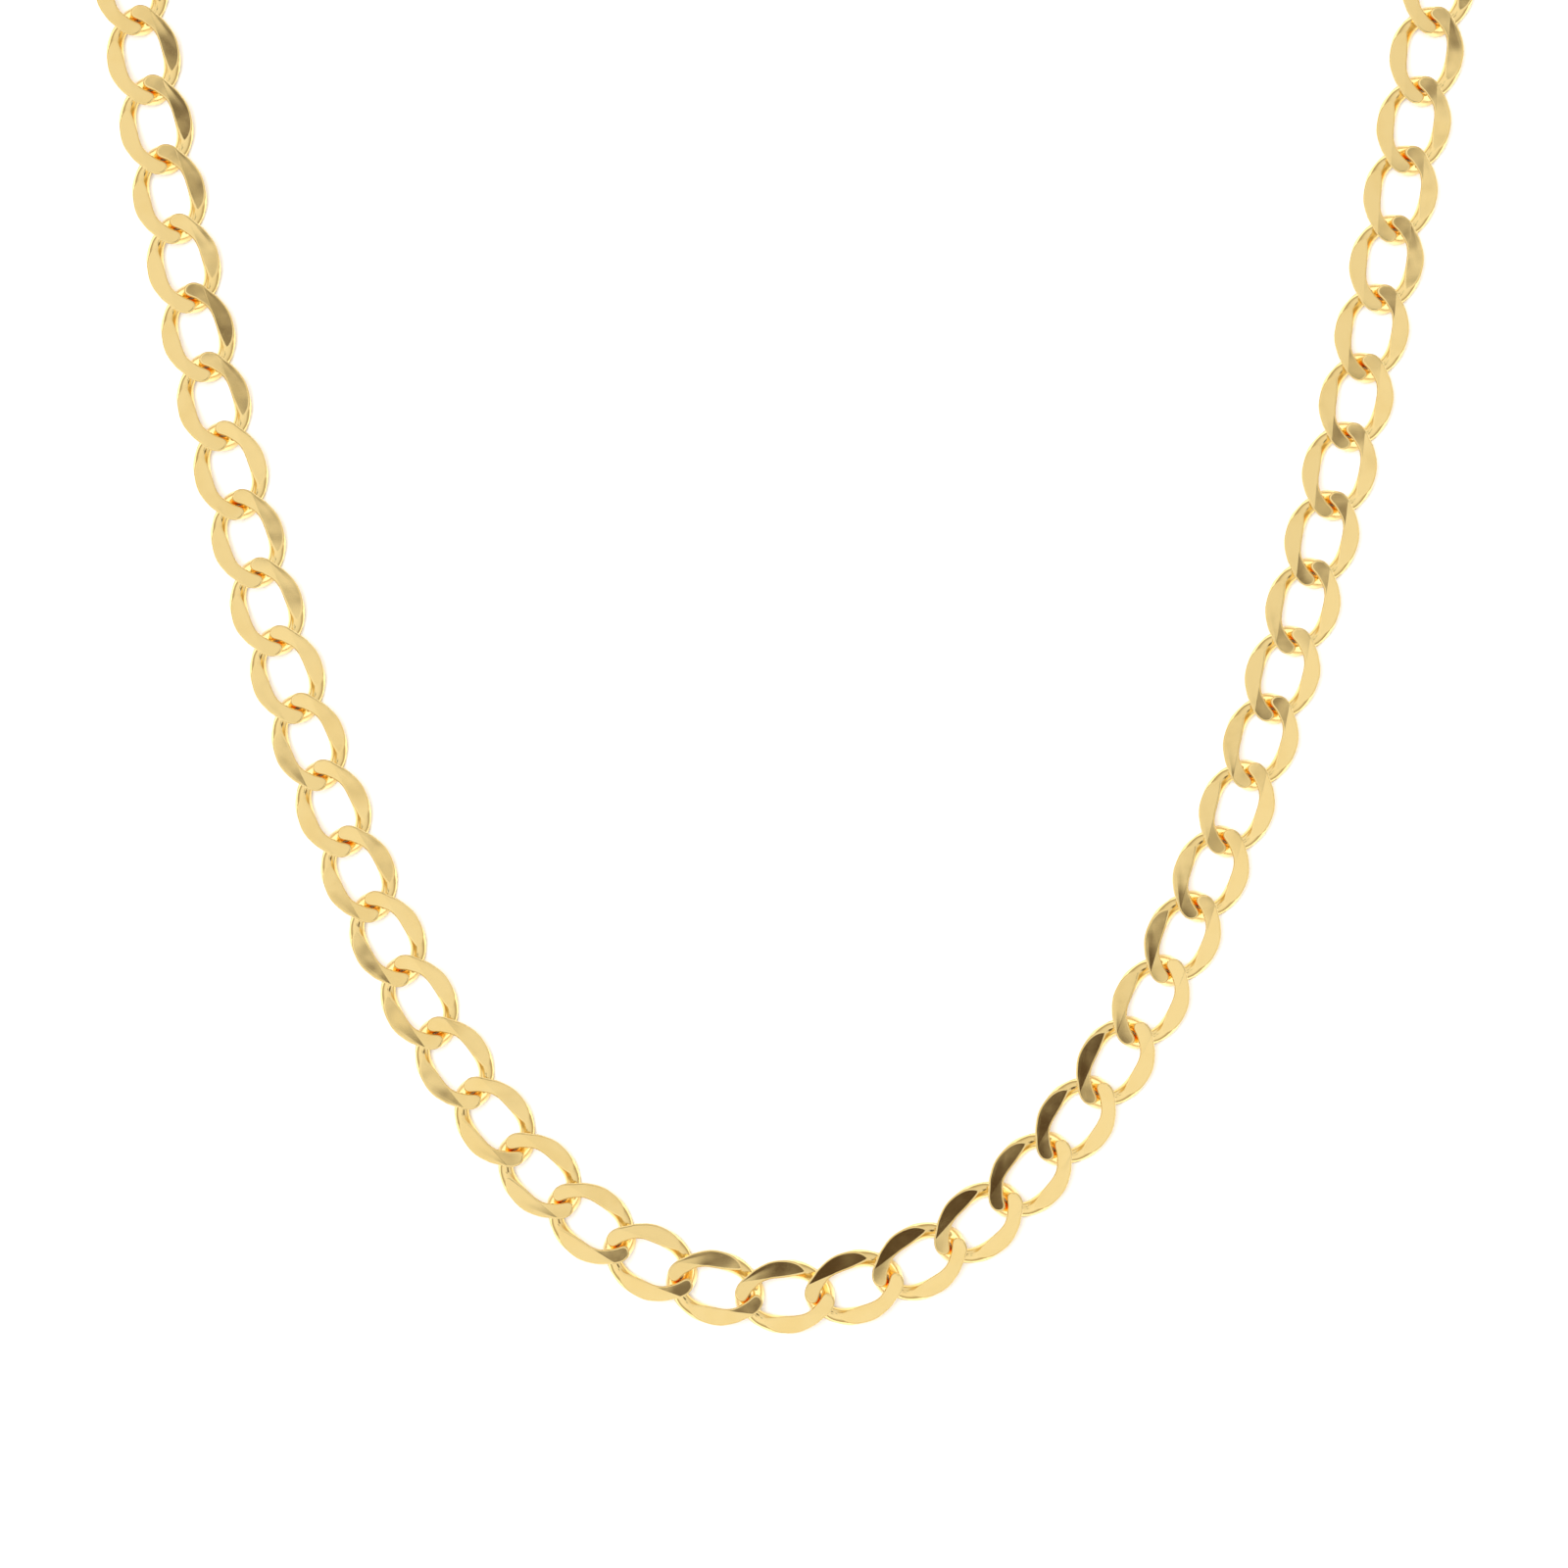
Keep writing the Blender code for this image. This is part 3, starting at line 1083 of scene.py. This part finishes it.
@dataclass
class WireFitting:
    """A piece of plain round wire: an end ring or the spring.

    Attributes:
        level: Smoothing of the wire.
        square: Largest bend inside one face, in radians.
    """

    level: int = 2
    square: float = math.radians(60.0)

    def build(self, node: str, name: str, body: str, slot: str,
              finish: Finish, polisher: Polisher) -> None:
        """Make the piece.

        Args:
            node: The solid that it takes the place of.
            name: The piece's name.
            body: The body that it moves with.
            slot: The material slot; not used.
            finish: The finish.
            polisher: Gives the finish.
        """
        wire = Bench.blank(node, name)
        Bench.pick(wire)
        bpy.ops.mesh.tris_convert_to_quads(face_threshold=self.square,
                                           shape_threshold=self.square)
        bpy.ops.object.mode_set(mode="OBJECT")
        Bench.modify(wire, "SUBSURF", levels=self.level,
                     render_levels=self.level)
        Bench.hold(wire)
        bpy.ops.object.shade_smooth()
        polisher.dress(wire, finish)
        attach(wire, body)
        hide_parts(node)
        LOG.info("%s: %d faces", name, len(wire.data.polygons))


# --------------------------------------------------------------------------
# The studio
# --------------------------------------------------------------------------
@dataclass(frozen=True)
class Gap:
    """A dark gap in the light tent, as seen from the table.

    Attributes:
        turn: Bearing of the gap's long side, in degrees.
        along: Its edges along that bearing, over its height.
        across: Its edges across that bearing, over its height.
        colour: What is seen through it.
        edge: Softness of its edges.
    """

    turn: float
    along: tuple[float, float]
    across: tuple[float, float]
    colour: Colour
    edge: float = 0.02

    def cover(self, east: Sock, north: Sock) -> Sock:
        """How much of the gap is seen in a direction.

        Args:
            east: The direction's slope to the right.
            north: The direction's slope away from the viewer.

        Returns:
            From 0 outside the gap to 1 inside it.
        """
        cos = math.cos(math.radians(self.turn))
        sin = math.sin(math.radians(self.turn))
        inside: Sock | float = 1.0
        for value, (low, high) in ((east * cos + north * sin, self.along),
                                   (north * cos - east * sin, self.across)):
            inside = (value.step(low - self.edge, low + self.edge)
                      * (1.0 - value.step(high - self.edge,
                                          high + self.edge)) * inside)
        return inside


@dataclass
class Studio:
    """The white table, the light tent and the camera above them.

    Attributes:
        table: Half the width of the table.
        lens_height: Camera height above the table.
        frame_width: Width of table in view.
        aim: Centre of the view, measured from the bottom link's centre.
        bright: Colour of the tent at the near left.
        dim: Colour of the tent at the far right.
        low: Colour of the tent near the table.
        gaps: The dark gaps in the tent.
        white: Lightness of the table.
        matt: Roughness of the table.
        horizon: Least height of a direction that the tent tells apart.
        fall_way: Pull of east and north on the fall from bright to dim.
        fall_span: Where that fall starts and ends.
        low_span: Where the tent turns to its low colour, by slope squared.
        fill_way: Direction from the table to the fill lamp.
        fill_power: Strength of the fill lamp.
        fill_spread: Width of the fill lamp from the table, in degrees.
        sensor: Width of the camera's sensor, in millimetres.
        nearest: Nearest distance that the camera sees.
        bounces: Most bounces of light, and most between mirrors.
    """

    table: float = 1.5
    lens_height: float = 0.62
    frame_width: float = 146.5 * MM
    aim: tuple[float, float] = (-0.07 * MM, 47.9 * MM)
    bright: Colour = (0.98, 0.97, 0.94)
    dim: Colour = (0.80, 0.78, 0.74)
    low: Colour = (0.52, 0.47, 0.40)
    gaps: tuple[Gap, ...] = (
        Gap(32.0, (0.10, 0.41), (-0.22, 0.215), (0.085, 0.056, 0.034)),
        Gap(45.0, (-0.12, 0.085), (0.29, 0.375), (0.09, 0.06, 0.037)),
        Gap(45.0, (-0.34, -0.19), (-0.09, -0.03), (0.13, 0.09, 0.06)),
        Gap(32.0, (0.44, 0.52), (0.06, 0.16), (0.12, 0.085, 0.055)),
        Gap(0.0, (0.04, 0.22), (-0.24, -0.15), (0.11, 0.078, 0.05)),
    )
    white: float = 0.93
    matt: float = 0.9
    horizon: float = 0.02
    fall_way: tuple[float, float] = (0.6, 0.5)
    fall_span: tuple[float, float] = (-0.8, 0.9)
    low_span: tuple[float, float] = (1.0, 9.0)
    fill_way: tuple[float, float, float] = (-0.25, 0.15, 0.9)
    fill_power: float = 3.0
    fill_spread: float = 60.0
    sensor: float = 36.0
    nearest: float = 0.01
    bounces: tuple[int, int] = (16, 14)

    def lay_table(self) -> None:
        """Make the table top."""
        Bench.clear()
        bpy.ops.mesh.primitive_plane_add(size=2.0 * self.table)
        top = bpy.context.object
        top.name = "table_top"
        material = bpy.data.materials.new("table_white")
        material.use_nodes = True
        board = Board(material.node_tree)
        shader = board.node("ShaderNodeBsdfPrincipled", {},
                            {"Base Color": (*[self.white] * 3, 1.0),
                             "Roughness": self.matt})
        board.node("ShaderNodeOutputMaterial", {}, {"Surface": shader})
        top.data.materials.append(material)

    def light(self) -> None:
        """Make the light tent: a pale sky with dark gaps in it."""
        world = bpy.data.worlds.new("light_tent")
        bpy.context.scene.world = world
        world.use_nodes = True
        board = Board(world.node_tree)
        way = board.node("ShaderNodeTexCoord", output="Generated")
        parts = board.node("ShaderNodeSeparateXYZ", {}, {"Vector": way})
        across = Sock(board, parts.socket.node.outputs[0])
        along = Sock(board, parts.socket.node.outputs[1])
        up = Sock(board, parts.socket.node.outputs[2])
        up = up.at_least(self.horizon)
        east = across / up
        north = along / up
        fall = (east * self.fall_way[0]
                + north * self.fall_way[1]).step(*self.fall_span)
        sky = board.blend(fall, self.bright, self.dim)
        spread = east * east + north * north
        sky = board.blend(spread.step(*self.low_span), sky, self.low)
        for gap in self.gaps:
            sky = board.blend(gap.cover(east, north), sky, gap.colour)
        ground = board.node("ShaderNodeBackground", {},
                            {"Color": sky, "Strength": 1.0})
        board.node("ShaderNodeOutputWorld", {}, {"Surface": ground})
        self._lamp("table_fill", self.fill_way, self.fill_power,
                   self.fill_spread)

    @staticmethod
    def _lamp(name: str, way: tuple[float, float, float], power: float,
              spread: float) -> None:
        """A broad lamp that lights the table and isn't mirrored.

        Args:
            name: The lamp's name.
            way: Direction from the table to the lamp.
            power: Strength.
            spread: Width of the lamp as seen from the table, in degrees.
        """
        data = bpy.data.lights.new(name, "SUN")
        data.energy = power
        data.angle = math.radians(spread)
        lamp = bpy.data.objects.new(name, data)
        lamp.rotation_euler = Vector(way).to_track_quat("Z", "Y").to_euler()
        lamp.visible_glossy = False
        bpy.context.scene.collection.objects.link(lamp)

    def hang_camera(self, bottom: Vector) -> None:
        """Hang the camera straight above the table.

        Args:
            bottom: Centre of the bottom link.
        """
        data = bpy.data.cameras.new("camera")
        data.sensor_width = self.sensor
        data.lens = data.sensor_width * self.lens_height / self.frame_width
        data.clip_start = self.nearest
        camera = bpy.data.objects.new("camera", data)
        camera.location = (bottom.x + self.aim[0], bottom.y + self.aim[1],
                           bottom.z + self.lens_height)
        bpy.context.scene.collection.objects.link(camera)
        bpy.context.scene.camera = camera

    def develop(self) -> None:
        """Show the light as it is, with no film curve."""
        view = bpy.context.scene.view_settings
        view.view_transform = "Standard"
        view.look = "None"
        view.exposure = 0.0
        view.gamma = 1.0
        cycles = bpy.context.scene.cycles
        cycles.max_bounces, cycles.glossy_bounces = self.bounces


def centre_of(node: str) -> Vector:
    """Centre of a solid's box.

    Args:
        node: The solid's name.

    Returns:
        The centre.
    """
    low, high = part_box(node)
    return (Vector(low) + Vector(high)) / 2.0


def main() -> None:
    """Build the necklace and its studio."""
    logging.basicConfig(level=logging.INFO, format="%(message)s")
    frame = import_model()
    polisher = Polisher()
    studio = Studio()
    studio.lay_table()
    studio.light()
    studio.hang_camera(centre_of("link_centre"))
    studio.develop()
    LOG.info("laid %d links", CurbLink().build(frame["record"], polisher))
    for node in ("clasp_ring", "end_ring"):
        WireFitting().build(node, node + "_wire", node, "gold_clasp",
                            Finish.CLASP, polisher)
    LobsterClasp().build(frame["record"], polisher)


if __name__ == "__main__":
    main()
